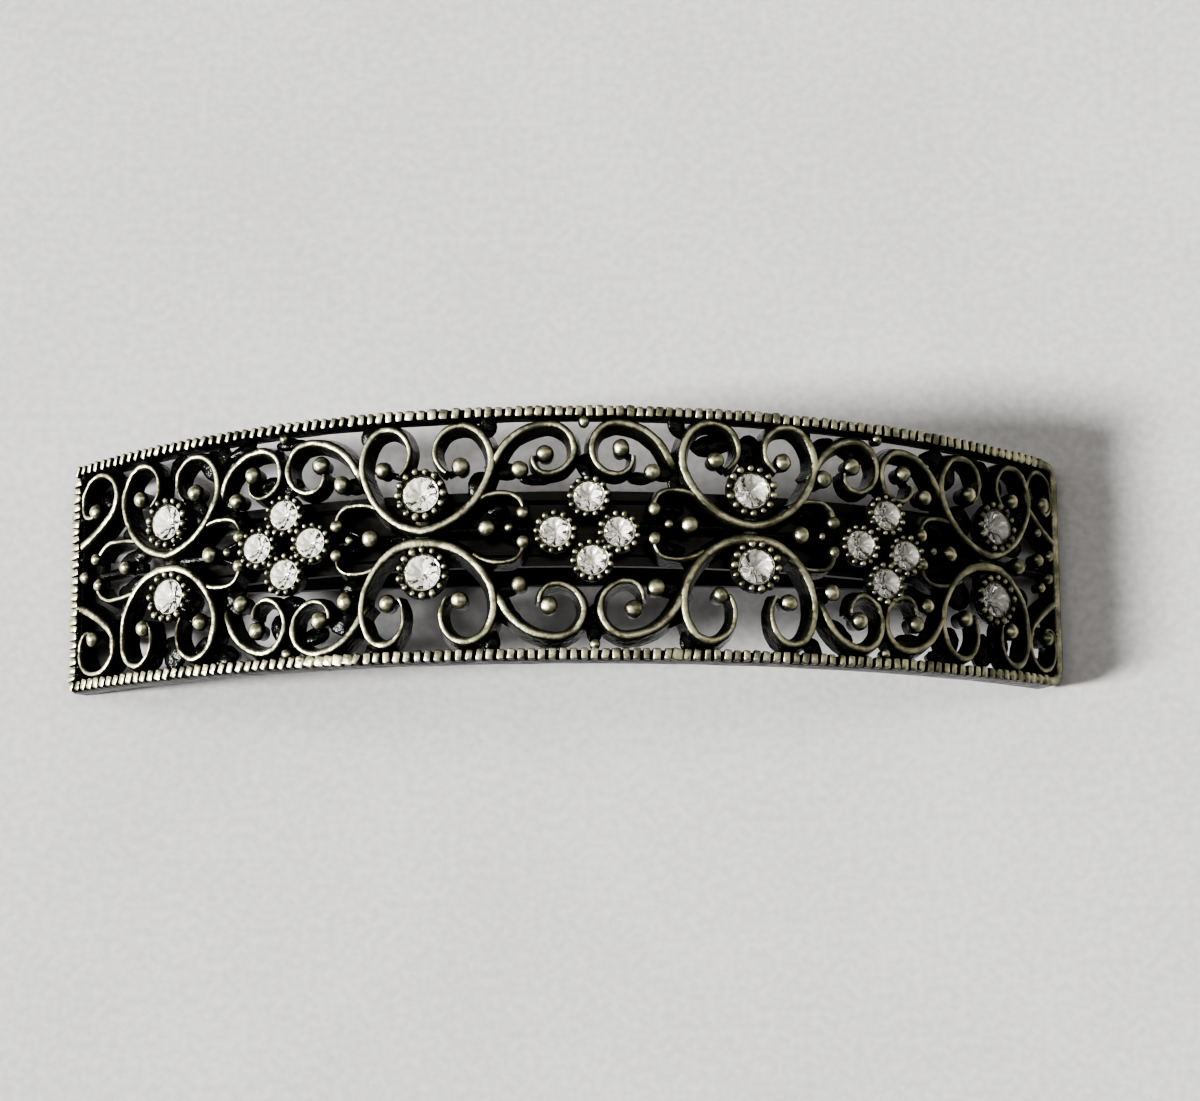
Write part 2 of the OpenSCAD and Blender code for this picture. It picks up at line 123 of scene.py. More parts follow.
def start_section(start, heading, width, top, back, flare=2.05):
    """Stands a ribbon's section across its path: a rounded crown over flanks that spread down."""
    crown = 0.3
    to_full_width = 1.155
    spread = to_full_width * flare
    middle = (start[0], start[1], 0)
    across = math.radians(heading) - math.pi / 2
    let_go()
    bpy.ops.mesh.primitive_circle_add(vertices=12, radius=0.5, location=middle,
                                      rotation=(math.pi / 2, 0, across))
    bpy.ops.object.transform_apply()
    bpy.ops.object.mode_set(mode="EDIT")
    pick_points(lambda place: True)
    bpy.ops.transform.resize(value=(width, width, 2 * crown), center_override=middle)
    pick_points(lambda place: place.z < -0.01)
    bpy.ops.transform.resize(value=(spread, spread, 0), center_override=middle)
    bpy.ops.transform.translate(value=(0, 0, back - top + crown))
    pick_points(lambda place: True)
    bpy.ops.transform.translate(value=(0, 0, top - crown))
    return Vector(middle), math.radians(heading)


def sweep(place, heading, width, arcs, step=9):
    """Draws the section along arcs of (radius, turn in degrees, width at the arc's end)."""
    for radius, turn, end_width in arcs:
        steps = max(1, math.ceil(abs(turn) / step))
        start_width = width
        for i in range(steps):
            part = math.radians(turn) / steps
            reach = math.copysign(radius, turn)
            centre = place + reach * Vector((-math.sin(heading), math.cos(heading), 0))
            bpy.ops.mesh.spin(steps=1, angle=-part, center=centre, axis=(0, 0, 1))
            heading += part
            place = centre - reach * Vector((-math.sin(heading), math.cos(heading), 0))
            new_width = start_width + (end_width - start_width) * (i + 1) / steps
            change = new_width / width
            bpy.ops.transform.resize(value=(change, change, 1), center_override=place)
            width = new_width
    return place, heading


def run_on(place, steps):
    """Draws the section straight on, by steps of (along, across)."""
    for along, across in steps:
        bpy.ops.mesh.extrude_region_move(TRANSFORM_OT_translate={"value": (along, across, 0)})
        place = place + Vector((along, across, 0))
    return place


def end_ribbon(name, open_foot=False):
    """Closes the ribbon's ends, or the last one alone, and names it."""
    if not open_foot:
        bpy.ops.mesh.select_all(action="SELECT")
        bpy.ops.mesh.fill_holes(sides=0)
    else:
        bpy.ops.mesh.edge_face_add()
    bpy.ops.object.mode_set(mode="OBJECT")
    ribbon = bpy.context.object
    ribbon.name = name
    return ribbon


def copy_at(master, place, size=(1, 1, 1), turn=0.0):
    twin = master.copy()
    twin.data = master.data.copy()
    bpy.context.scene.collection.objects.link(twin)
    twin.location = (place[0], place[1], place[2] if len(place) > 2 else 0)
    twin.scale = size
    twin.rotation_euler = (0, 0, turn)
    return twin


def join_up(name, parts):
    """Joins parts into one mesh: its place in its points, doubles merged and faces outwards."""
    let_go()
    for part in parts:
        part.select_set(True)
    bpy.context.view_layer.objects.active = parts[0]
    bpy.ops.object.join()
    bpy.ops.object.transform_apply()
    bpy.ops.object.mode_set(mode="EDIT")
    bpy.ops.mesh.select_all(action="SELECT")
    bpy.ops.mesh.remove_doubles(threshold=0.002)
    bpy.ops.mesh.normals_make_consistent(inside=False)
    bpy.ops.object.mode_set(mode="OBJECT")
    piece = bpy.context.object
    piece.name = name
    piece.data.name = name
    return piece


def put_away(*masters):
    for master in masters:
        bpy.data.objects.remove(master)


def bevel_edges(piece, width, segments=2):
    hold(piece)
    edge = piece.modifiers.new("edge", "BEVEL")
    edge.width = width
    edge.segments = segments
    edge.limit_method = "ANGLE"
    bpy.ops.object.modifier_apply(modifier=edge.name)


def lay_over_bow(piece, uneven, smooth=40):
    """Makes the flat piece uneven like a casting, curls it over the bow and brings it to metres."""
    hold(piece)
    if uneven:
        swell = piece.modifiers.new("swell", "DISPLACE")
        swell.texture = cast_unevenness
        swell.strength = uneven
        bpy.ops.object.modifier_apply(modifier=swell.name)
    piece.rotation_euler = (-math.pi / 2, 0, 0)
    bpy.ops.object.transform_apply()
    reach = [corner[0] for corner in piece.bound_box]
    curl = piece.modifiers.new("curl", "SIMPLE_DEFORM")
    curl.deform_method = "BEND"
    curl.deform_axis = "Z"
    curl.angle = -(max(reach) - min(reach)) / BOW_R
    bpy.ops.object.modifier_apply(modifier=curl.name)
    piece.rotation_euler = (math.pi / 2, 0, 0)
    bpy.ops.object.transform_apply()
    piece.location = (0, 0, (BOW_R + AXIS_Z) * MM)
    piece.scale = (MM, MM, MM)
    bpy.ops.object.transform_apply()
    if smooth:
        bpy.ops.object.shade_smooth_by_angle(angle=math.radians(smooth))


def socket(group, name, way, kind="NodeSocketFloat", default=None):
    made = group.interface.new_socket(name=name, in_out=way, socket_type=kind)
    if default is not None:
        made.default_value = default


def add_node(tree, kind, values=(), **settings):
    """A node with its settings, and with its sockets set to values or joined to outputs."""
    node = tree.nodes.new(kind)
    for name, value in settings.items():
        setattr(node, name, value)
    for name, value in dict(values).items():
        if isinstance(value, bpy.types.NodeSocket):
            tree.links.new(value, node.inputs[name])
        else:
            node.inputs[name].default_value = value
    return node


def sum_node(tree, operation, *values):
    return add_node(tree, "ShaderNodeMath", dict(enumerate(values)), operation=operation).outputs[0]


def spread_node(tree, value, low, high, to_low=0.0, to_high=1.0):
    """Spreads a value from one range over another with soft ends."""
    sockets = {"Value": value, "From Min": low, "From Max": high,
               "To Min": to_low, "To Max": to_high}
    return add_node(tree, "ShaderNodeMapRange", sockets,
                    interpolation_type="SMOOTHSTEP").outputs[0]


def noise_node(tree, coords, scale, detail, rough=0.5):
    sockets = {"Vector": coords, "Scale": scale, "Detail": detail, "Roughness": rough}
    return add_node(tree, "ShaderNodeTexNoise", sockets).outputs[0]


def mix_node(tree, part, first, second):
    mixed = add_node(tree, "ShaderNodeMix", data_type="RGBA")
    for place, value in ((0, part), (6, first), (7, second)):
        if isinstance(value, bpy.types.NodeSocket):
            tree.links.new(value, mixed.inputs[place])
        else:
            mixed.inputs[place].default_value = value
    return mixed.outputs[2]


def product(tree, *values):
    whole = values[0]
    for value in values[1:]:
        whole = sum_node(tree, "MULTIPLY", whole, value)
    return whole


def add_relief(tree, shader, height, strength, distance):
    sockets = {"Height": height, "Strength": strength, "Distance": distance}
    relief = add_node(tree, "ShaderNodeBump", sockets).outputs[0]
    tree.links.new(relief, shader.inputs["Normal"])


def start_material(name):
    material = bpy.data.materials.new(name)
    material.use_nodes = True
    return material, material.node_tree, material.node_tree.nodes["Principled BSDF"]


def coat(piece, material):
    piece.data.materials.clear()
    piece.data.materials.append(material)


def make_antique_finish():
    """The rubbed finish: bright where the metal stands high and faces out, black in the hollows.

    Low and High are the distances from the bow's axis between which the rubbing sets in, and
    Facing is how straight outwards a surface has to face for it. Towards the left end the rubbed
    edges are narrower, and towards the right end they are duller, partly from wear and partly as
    painted shade for the end that turns away from the light.
    """
    group = bpy.data.node_groups.new("antique_finish", "ShaderNodeTree")
    for name, color in (("Hollow Color", (0.0012, 0.0012, 0.001, 1)),
                        ("Plated Color", (0.027, 0.0272, 0.0195, 1)),
                        ("Worn Color", (0.202, 0.198, 0.13, 1)),
                        ("Rubbed Color", (0.8, 0.775, 0.545, 1))):
        socket(group, name, "INPUT", "NodeSocketColor", color)
    for name in ("Low", "High", "Rub", "Facing"):
        socket(group, name, "INPUT")
    socket(group, "Color", "OUTPUT", "NodeSocketColor")
    for name in ("Metallic", "Roughness", "Height"):
        socket(group, name, "OUTPUT")
    given = group.nodes.new("NodeGroupInput").outputs
    given_out = group.nodes.new("NodeGroupOutput").inputs
    coords = add_node(group, "ShaderNodeTexCoord").outputs["Object"]
    parts = add_node(group, "ShaderNodeSeparateXYZ", {0: coords}).outputs
    height = sum_node(group, "SUBTRACT", parts["Z"], AXIS_Z * MM)
    radial = add_node(group, "ShaderNodeCombineXYZ", {"X": parts["X"], "Z": height}).outputs[0]
    radius = add_node(group, "ShaderNodeVectorMath", {0: radial},
                      operation="LENGTH").outputs["Value"]
    outward = add_node(group, "ShaderNodeVectorMath", {0: radial},
                       operation="NORMALIZE").outputs[0]
    normal = add_node(group, "ShaderNodeNewGeometry").outputs["Normal"]
    facing = add_node(group, "ShaderNodeVectorMath", {0: normal, 1: outward},
                      operation="DOT_PRODUCT").outputs["Value"]
    blotch = noise_node(group, coords, 620.0, 4.0, 0.62)
    grain = noise_node(group, coords, 3600.0, 3.0, 0.6)

    left_from, left_to = -0.03, -0.01
    # Painted shade: the rubbed colour fades towards the right end, partly wear and partly painted
    # shade for the end that turns away from the light
    dull_and_shade_from, dull_and_shade_to = 0.014, 0.04
    hollow_n, shallow_n = -1.25, -0.25
    raised = spread_node(group, radius, given["Low"], given["High"])
    shoulder = product(group, raised, spread_node(group, facing, 0.3, 0.8),
                       spread_node(group, parts["X"], left_from, left_to, 0.65, 1.0))
    narrow = sum_node(group, "ADD", given["Facing"], 0.05)
    narrow = spread_node(group, parts["X"], left_from, left_to, narrow, given["Facing"])
    rubbed = product(group, raised, spread_node(group, facing, narrow, 0.995),
                     spread_node(group, blotch, 0.34, 0.64, 0.15, 1.3),
                     spread_node(group, parts["X"], dull_and_shade_from, dull_and_shade_to, 1.0, 0.45),
                     given["Rub"])
    rubbed = sum_node(group, "MINIMUM", rubbed, 1.0)
    depth = spread_node(group, radius, (BOW_R + hollow_n) * MM, (BOW_R + shallow_n) * MM)
    plated = mix_node(group, depth, given["Hollow Color"], given["Plated Color"])
    worn = mix_node(group, shoulder, plated, given["Worn Color"])
    group.links.new(mix_node(group, rubbed, worn, given["Rubbed Color"]), given_out["Color"])
    group.links.new(spread_node(group, shoulder, 0.0, 0.6, 0.5, 1.0), given_out["Metallic"])
    rough = sum_node(group, "ADD", spread_node(group, grain, 0.3, 0.7, 0.14, 0.28),
                     sum_node(group, "MULTIPLY", shoulder, 0.24))
    group.links.new(rough, given_out["Roughness"])
    crumple = sum_node(group, "MULTIPLY_ADD", shoulder, -5.0, 8.0)
    lumps = product(group, sum_node(group, "SUBTRACT", blotch, 0.5), crumple)
    group.links.new(sum_node(group, "ADD", lumps, grain), given_out["Height"])
    return group


def casting_metal(name, low=-0.75, high=-0.05, rub=1.0, facing=0.66):
    """The casting's metal, whose rubbing sets in between two heights in mm above the bow."""
    metal, tree, shader = start_material(name)
    finish = add_node(tree, "ShaderNodeGroup", node_tree=antique_finish)
    for key, value in (("Low", (BOW_R + low) * MM), ("High", (BOW_R + high) * MM),
                       ("Rub", rub), ("Facing", facing)):
        finish.inputs[key].default_value = value
    tree.links.new(finish.outputs["Color"], shader.inputs["Base Color"])
    tree.links.new(finish.outputs["Metallic"], shader.inputs["Metallic"])
    tree.links.new(finish.outputs["Roughness"], shader.inputs["Roughness"])
    add_relief(tree, shader, finish.outputs["Height"], 0.5, 0.00007)
    return metal


def keep_as_casting(piece, metal):
    coat(piece, metal)
    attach(piece, "barrette")
    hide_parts("plate")


antique_finish = make_antique_finish()
cast_unevenness = bpy.data.textures.new("cast_unevenness", "CLOUDS")
cast_unevenness.noise_scale = 0.9
cast_unevenness.noise_depth = 1


def start_rail(start, heading):
    return start_section(start, heading, RAIL_BODY_W, GROOVE_N, -METAL_T, RAIL_FLARE)


rail_y = edge_y(HALF_ARC) - RAIL_W / 2
rail_end = HALF_ARC - RAIL_W / 2 - CORNER_R
stops = [-HALF_ARC + (HALF_ARC + rail_end) * i / RAIL_RUNS for i in range(RAIL_RUNS + 1)]
line = [edge_y(s) - RAIL_W / 2 for s in stops]
runs = [(stops[i + 1] - stops[i], line[i] - line[i + 1]) for i in range(RAIL_RUNS)]
corner = [(CORNER_R, 90, RAIL_BODY_W)]
place, heading = start_rail((-HALF_ARC, -rail_y), 0)
run_on(place, runs)
place = Vector((stops[-1], -line[-1], 0))
place, heading = sweep(place, heading, RAIL_BODY_W, corner, CORNER_STEP)
end_run = 2 * (line[-1] - CORNER_R)
place = run_on(place, [(0, end_run / 8)] * 8)
place = sweep(place, heading, RAIL_BODY_W, corner, CORNER_STEP)[0]
run_on(place, [(-along, across) for along, across in reversed(runs)])
long_rails = end_ribbon("long_rails")
bpy.ops.object.mode_set(mode="EDIT")
for start in RISES_FROM:
    pick_points(lambda place: place.x > start and place.z > GROOVE_N - 0.35)
    bpy.ops.transform.translate(value=(0, 0, RISE))
bpy.ops.object.mode_set(mode="OBJECT")
left_run = 2 * rail_y + RAIL_W - 0.04
place = start_rail((-HALF_ARC + RAIL_W / 2, -left_run / 2), 90)[0]
run_on(place, [(0, left_run / 16)] * 16)
left_rail = end_ribbon("left_rail")

let_go()
bpy.ops.mesh.primitive_cube_add(size=1, location=(0, 0, 0), scale=RIDGE_SIZE)
bpy.ops.object.transform_apply()
bpy.ops.object.mode_set(mode="EDIT")
pick_points(lambda place: place.z > 0)
bpy.ops.transform.resize(value=(0.84, 0.92, 1), center_override=(0, 0, 0))
bpy.ops.object.mode_set(mode="OBJECT")
ridge = bpy.context.object
bevel_edges(ridge, RIDGE_ROUNDING)
ridge_n = RAIL_TOP - RIDGE_SIZE[2] / 2

rail_parts = [long_rails, left_rail]
for side in (-1, 1):
    s = -HALF_ARC + LEFT_MARGIN
    while s < HALF_ARC - RIGHT_MARGIN:
        worn = any(low < s < high and side == band for low, high, band in WORN_STRETCHES)
        coarse = COARSE if side > 0 and COARSE_STRETCH[0] < s < COARSE_STRETCH[1] else 1.0
        tilt = (LEFT_TILT if s < LEFT_TILT_TILL else TILT) + draw.uniform(-TILT_PLAY, TILT_PLAY)
        top = ridge_n - TOP_PLAY * draw.random()
        top -= FADE_DROP * max(0.0, (s - FADE_FROM) / FADE_RUN)
        length = FINE_LENGTH if side > 0 and s < FINE_TILL else RIDGE_LENGTH
        length *= coarse * draw.uniform(0.88, 1.08)
        size = (length * (WORN_LENGTH if worn else 1), draw.uniform(0.9, 1.06), 1)
        spot = (s, side * (edge_y(s) - RAIL_W / 2 - 0.02), top - (WORN_DROP if worn else 0))
        rail_parts.append(copy_at(ridge, spot, size, math.radians(tilt)))
        s += RIDGE_PITCH * coarse * draw.uniform(0.93, 1.07)
y = -rail_y + 0.7
while y < rail_y - 0.4:
    top = ridge_n - 0.06 * draw.random()
    turn = math.radians(90 + draw.uniform(-8, 8))
    size = (draw.uniform(0.75, 0.95), END_RIDGE_W, 1)
    rail_parts.append(copy_at(ridge, (-HALF_ARC + RAIL_W / 2 - 0.08, y, top), size, turn))
    y += END_PITCH * draw.uniform(0.92, 1.08)
rails = join_up("casting_rails", rail_parts)
put_away(ridge)
lay_over_bow(rails, uneven=0.14)
keep_as_casting(rails, casting_metal("rubbed_rail", low=-0.25, high=0.05, rub=1.5, facing=0.35))

# The ram's horns: four stations, each of a pair of scrolls above its knot and a pair below, which
# carry the single stones. Each is a rounded ribbon of the casting that spreads towards its back;
# the halves are drawn once, for the upper and the lower pairs, and stretched to each place.
RIBBON_BACK = -METAL_T + 0.08
FOOT_W = 0.84
STEM_W = 0.74
CURL_W = 0.56
TIP_W = 0.42
UPPER_HORN = ((7.15, 66, STEM_W), (3.75, 57, STEM_W), (2.3, 130, CURL_W), (2.3, 66, TIP_W))
LOWER_HORN = ((6.25, 66, STEM_W), (3.7, 58, STEM_W), (2.2, 126, CURL_W), (2.2, 64, TIP_W))
UPPER_HEADING = 7
LOWER_HEADING = -4
UPPER_SIZE = (6.055, 9.334)
LOWER_SIZE = (6.387, 7.935)
# Columns: foot along, foot across, reach to the left, reach to the right, height
HORNS = (
    (-37.8, 0.5, 5.3, 5.5, 8.6),
    (-38.0, -0.8, 5.0, 5.7, -8.3),
    (-12.6, 0.4, 5.3, 6.1, 9.2),
    (-12.6, -0.7, 5.3, 6.4, -8.7),
    (16.4, 0.9, 6.2, 5.8, 9.0),
    (16.4, -0.3, 6.2, 5.6, -9.0),
    (40.6, 0.5, 5.4, 5.1, 8.5),
    (40.4, -0.6, 5.4, 4.8, -8.6),
)


def horn_half(name, heading, arcs):
    """Half a pair of horns, from its foot in the plane of symmetry to the tip of its curl."""
    place, course = start_section((0, 0), heading, FOOT_W, 0, RIBBON_BACK)
    tip = sweep(place, course, FOOT_W, arcs)[0]
    half = end_ribbon(name, open_foot=True)
    hold(half)
    bpy.ops.object.mode_set(mode="EDIT")
    pick_points(lambda place: abs(place.x) < 0.12 and abs(place.y) < 1)
    bpy.ops.transform.resize(value=(0, 1, 1), center_override=(0, 0, 0))
    bpy.ops.object.mode_set(mode="OBJECT")
    return half, tip


upper_half, upper_tip = horn_half("upper_half", UPPER_HEADING, UPPER_HORN)
lower_half, lower_tip = horn_half("lower_half", LOWER_HEADING, LOWER_HORN)
horn_parts = []
horn_tips = []
for foot_s, foot_y, left, right, height in HORNS:
    half, tip, size = lower_half, lower_tip, LOWER_SIZE
    if height > 0:
        half, tip, size = upper_half, upper_tip, UPPER_SIZE
    for reach in (-left, right):
        stretch = (reach / size[0], height / size[1], 1)
        horn_parts.append(copy_at(half, (foot_s, foot_y), stretch))
        horn_tips.append((foot_s + tip.x * stretch[0], foot_y + tip.y * stretch[1]))
horns = join_up("casting_horns", horn_parts)
put_away(upper_half, lower_half)
lay_over_bow(horns, uneven=0.2)
scroll_metal = casting_metal("rubbed_scroll")
keep_as_casting(horns, scroll_metal)

# The corner scrolls: two above and two below each flower of stones, each rising from the root
# between a horn and the flower, curling over and in. They are ribbons like the horns. Two larger
# ones like them fill the left end of the casting, and two narrower ones the right end.
CORNER_SCROLL = ((4.7, 18, STEM_W), (4.9, -63, STEM_W), (2.3, -130, CURL_W), (2.3, -43, CURL_W),
                 (1.45, -106, TIP_W))
CORNER_START = (-0.8, -1.23)
CORNER_HEADING = 48
CORNER_SIZE = (6.6, 4.6)
# Columns: reach round the root, and how far the scroll drops within it
ROOT_DROPS = ((1.25, 0.2), (0.6, 0.5))
# Columns: root along, root across, reach along, height across
CORNERS = (
    (-31.5, 6.0, 5.7, 4.3), (-18.5, 6.1, -6.5, 4.5),
    (-30.8, -6.4, 5.6, -4.7), (-18.0, -6.9, -6.3, -4.6),
    (-5.9, 6.8, 6.6, 4.4), (8.9, 6.8, -6.6, 4.6),
    (-5.5, -6.2, 7.0, -4.7), (9.8, -6.0, -6.8, -4.8),
    (22.3, 6.3, 6.0, 4.6), (34.6, 5.9, -5.8, 4.4),
    (22.9, -6.3, 5.6, -4.8), (34.8, -6.1, -5.8, -4.8),
)
END_SCROLL = ((14.3, 20, STEM_W), (2.3, 150, CURL_W), (2.3, 105, CURL_W), (1.07, 125, TIP_W))
END_HEADING = 19
END_SCROLL_Y = 2.7
RIGHT_END_WIDTH = 0.74
RIGHT_END_DROP = 0.1

place, course = start_section(CORNER_START, CORNER_HEADING, FOOT_W, 0, RIBBON_BACK)
corner_tip = sweep(place, course, FOOT_W, CORNER_SCROLL)[0]
corner_master = end_ribbon("corner_master")
root = Vector(CORNER_START)
bpy.ops.object.mode_set(mode="EDIT")
for reach, drop in ROOT_DROPS:
    pick_points(lambda place: (place.xy - root).length < reach and place.z > RIBBON_BACK + 0.1)
    bpy.ops.transform.translate(value=(0, 0, -drop))
bpy.ops.object.mode_set(mode="OBJECT")
place, course = start_section((0, 0), END_HEADING, FOOT_W, 0, RIBBON_BACK)
sweep(place, course, FOOT_W, END_SCROLL)
end_master = end_ribbon("end_master")
scroll_parts = []
scroll_tips = []
for s, y, reach, height in CORNERS:
    stretch = (reach / CORNER_SIZE[0], height / CORNER_SIZE[1], 1)
    scroll_parts.append(copy_at(corner_master, (s, y), stretch))
    scroll_tips.append((s + corner_tip.x * stretch[0], y + corner_tip.y * stretch[1]))
for side in (-1, 1):
    left_root = (-HALF_ARC + RAIL_W / 2, side * END_SCROLL_Y)
    right_root = (HALF_ARC - RAIL_W / 2, side * END_SCROLL_Y, -RIGHT_END_DROP)
    scroll_parts.append(copy_at(end_master, left_root, (1, side, 1)))
    scroll_parts.append(copy_at(end_master, right_root, (-RIGHT_END_WIDTH, side, 1)))
scrolls = join_up("casting_corner_scrolls", scroll_parts)
put_away(corner_master, end_master)
lay_over_bow(scrolls, uneven=0.2)
keep_as_casting(scrolls, scroll_metal)

# The bracket arms: small curved ribbons, a little lower than the scrolls, that carry the tips of
# the trefoils between stations and flowers, and two that fill the middle of the left end.
ARM_TOP = -0.18
ARM_W = 0.56
BRACKET = ((4.2, -45, 0.5), (1.45, -90, 0.42))
BRACKET_START = (-1.2, 2.3)
BRACKET_HEADING = 35
LEFT_ARM = ((2.2, -65, 0.5), (14, -12, 0.44))
LEFT_ARM_START = (-46.6, 1.4)
LEFT_ARM_HEADING = 65
# Columns: along, across, direction of the flower
TREFOILS = (
    (-33.0, 0.0, 1), (-17.2, 0.0, -1), (-6.8, 0.5, 1),
    (10.8, 0.8, -1), (20.9, 0.4, 1), (36.0, 0.1, -1),
)


def draw_arm(name, start, heading, arcs):
    place, course = start_section(start, heading, ARM_W, ARM_TOP, RIBBON_BACK)
    sweep(place, course, ARM_W, arcs)
    return end_ribbon(name)


bracket = draw_arm("bracket", BRACKET_START, BRACKET_HEADING, BRACKET)
arm_parts = [copy_at(bracket, (s, y), (way, side, 1)) for s, y, way in TREFOILS for side in (-1, 1)]
left_arm = draw_arm("left_arm", LEFT_ARM_START, LEFT_ARM_HEADING, LEFT_ARM)
arm_parts += [copy_at(left_arm, (0, 0), (1, side, 1)) for side in (-1, 1)]
arms = join_up("casting_arms", arm_parts)
put_away(bracket, left_arm)
lay_over_bow(arms, uneven=0.18)
keep_as_casting(arms, scroll_metal)

# The balls: cast shot on short posts, one in the eye of each scroll, one at each corner scroll's
# root, and smaller ones in the trefoils, on the rails' inner sides and at the two ends.
BALL_R = 0.8
BALL_TOP = 0.25
HORN_EYES = (
    (-41.18, 6.09), (-34.8, 5.85), (-40.52, -5.74), (-33.97, -5.93),
    (-16.06, 5.99), (-9.15, 5.99), (-15.61, -5.79), (-9.21, -5.78),
    (13.16, 6.62), (19.27, 6.78), (13.43, -5.3), (19.63, -5.66),
    (38.37, 5.83), (43.6, 5.86), (37.67, -5.57), (43.07, -6.08),
)
CORNER_EYES = (
    (-28.63, 6.66), (-21.92, 6.89), (-28.01, -7.3), (-21.89, -6.89),
    (-1.78, 6.97), (4.85, 7.46), (-1.46, -6.36), (5.88, -6.66),
    (25.92, 6.98), (31.11, 6.8), (26.35, -6.81), (32.13, -6.64),
)
ROOT_BALLS = (
    (-30.2, 4.5), (-19.9, 5.0), (-29.6, -4.8), (-19.5, -5.4),
    (-4.0, 5.6), (7.6, 5.4), (-4.0, -4.5), (7.8, -4.8),
    (23.1, 5.6), (33.3, 4.9), (23.7, -4.5), (33.3, -4.9),
)
END_EYES = ((-47.1, 5.9), (-47.1, -5.9), (47.8, 6.2), (47.9, -6.2))
ROOT_BALL_R = 0.78
# A trefoil's two outer balls and the small one between them, measured from its large ball
TIP_PLACE = (3.1, 1.3)
TIP_R = 0.6
TIP_TOP = 0.15
SMALL_PLACE = 1.9
SMALL_R = 0.42
SMALL_TOP = 0.05
BEAD_R = 0.5
BEAD_TOP = 0.1
END_BEAD_TOP = 0.2
# Columns: along, side of the rail
RAIL_BEADS = ((-25.5, 1), (-24.9, -1), (1.6, 1), (2.5, -1), (28.5, 1), (28.8, -1))
# Columns: along, across, radius
END_BEADS = (
    (-46.8, 1.4, 0.62), (-48.3, -0.1, 0.66), (-46.4, -1.0, 0.62), (-42.9, 0.1, 0.68),
    (44.3, 0.0, 0.8), (46.9, 0.9, 0.62), (48.4, 1.5, 0.6), (48.2, -0.6, 0.62),
    (47.1, -1.6, 0.5), (46.8, 3.4, 0.5),
)

# The ball's underside is drawn down into a short post
let_go()
bpy.ops.mesh.primitive_uv_sphere_add(segments=16, ring_count=12, radius=1)
bpy.ops.object.mode_set(mode="EDIT")
pick_points(lambda place: place.z < -0.6)
bpy.ops.transform.resize(value=(1.15, 1.15, 0), center_override=(0, 0, -0.7))
bpy.ops.transform.translate(value=(0, 0, -0.8))
bpy.ops.object.mode_set(mode="OBJECT")
ball = bpy.context.object


def set_ball(s, y, r, top=BALL_TOP):
    round_off = (r * draw.uniform(0.95, 1.06), r * draw.uniform(0.97, 1.08), r)
    return copy_at(ball, (s, y, top - r), round_off, draw.uniform(-0.4, 0.4))


ball_parts = [set_ball(s, y, BALL_R) for s, y in HORN_EYES + CORNER_EYES + END_EYES]
ball_parts += [set_ball(s, y, ROOT_BALL_R) for s, y in ROOT_BALLS]
for s, y, way in TREFOILS:
    ball_parts.append(set_ball(s, y, BALL_R))
    ball_parts.append(set_ball(s + way * SMALL_PLACE, y, SMALL_R, SMALL_TOP))
    for side in (-1, 1):
        tip = (s + way * TIP_PLACE[0], y + side * TIP_PLACE[1])
        ball_parts.append(set_ball(*tip, TIP_R, TIP_TOP))
for s, side in RAIL_BEADS:
    ball_parts.append(set_ball(s, side * (edge_y(s) - RAIL_W - 0.35), BEAD_R, BEAD_TOP))
ball_parts += [set_ball(s, y, r, END_BEAD_TOP) for s, y, r in END_BEADS]
balls = join_up("casting_balls", ball_parts)
lay_over_bow(balls, uneven=0.16)
keep_as_casting(balls, casting_metal("rubbed_ball", low=-0.65, high=0.1, rub=1.6, facing=0.3))

# The ties: low webs that join the scrolls' tips to their balls and the balls to the ribbons, the
# spines of the trefoils, and the knots that bind each upper pair of horns to the lower one.
TIE_TOP = -0.85
TIE_BACK = -METAL_T + 0.24
TIE_W = 0.8
TIE_FLARE = 1.1
TIE_PIECE = 1.5
WEB_DEPTH = 0.4
HORN_TIE_W = 0.5
SCROLL_TIE_W = 0.45
# The webs at a corner scroll's root and in its bend: half length, half width and top
ROOT_WEB_W = 0.8
ROOT_WEB_TOP = -0.8
BEND_WEB = (1.15, 0.8, -0.78)
BEND_WEB_PLACE = (-0.14, 0.66)
BEND_WEB_TURN = math.radians(55)
KNOT_W = 1.5
KNOT_TOP = -0.6
# Columns: along, lower and upper end across, of each knot
KNOTS = ((-37.9, -2.2, 2.4), (-12.6, -2.2, 2.5), (16.4, -1.6, 2.9), (40.5, -2.4, 2.1))
# The trefoil's spine: from and to along, measured from its large ball
SPINE = (-3.9, 4.2)
SPINE_TOP = -1.05
TREFOIL_TIE_W = 0.5
TREFOIL_TIE_TOP = -1.1
END_TIES = (
    ((-46.8, -1.6), (-46.8, 1.8)),
    ((-HALF_ARC + 0.5, 0), (-41.2, 0)),
    ((42.6, 0), (HALF_ARC - 0.5, 0)),
    ((HALF_ARC - 0.5, -6.3), (47.4, -6.3)),
    ((HALF_ARC - 0.5, 6.3), (47.4, 6.3)),
)


def tie(start, end, width=TIE_W, top=TIE_TOP):
    run = Vector(end) - Vector(start)
    heading = math.degrees(math.atan2(run.y, run.x))
    place = start_section(start, heading, width, top, TIE_BACK, TIE_FLARE)[0]
    pieces = max(1, round(run.length / TIE_PIECE))
    run_on(place, [(run.x / pieces, run.y / pieces)] * pieces)
    return end_ribbon("tie")


def web(s, y, long, wide, top, turn=0.0):
    return copy_at(ball, (s, y, top - WEB_DEPTH), (long, wide, WEB_DEPTH), turn)


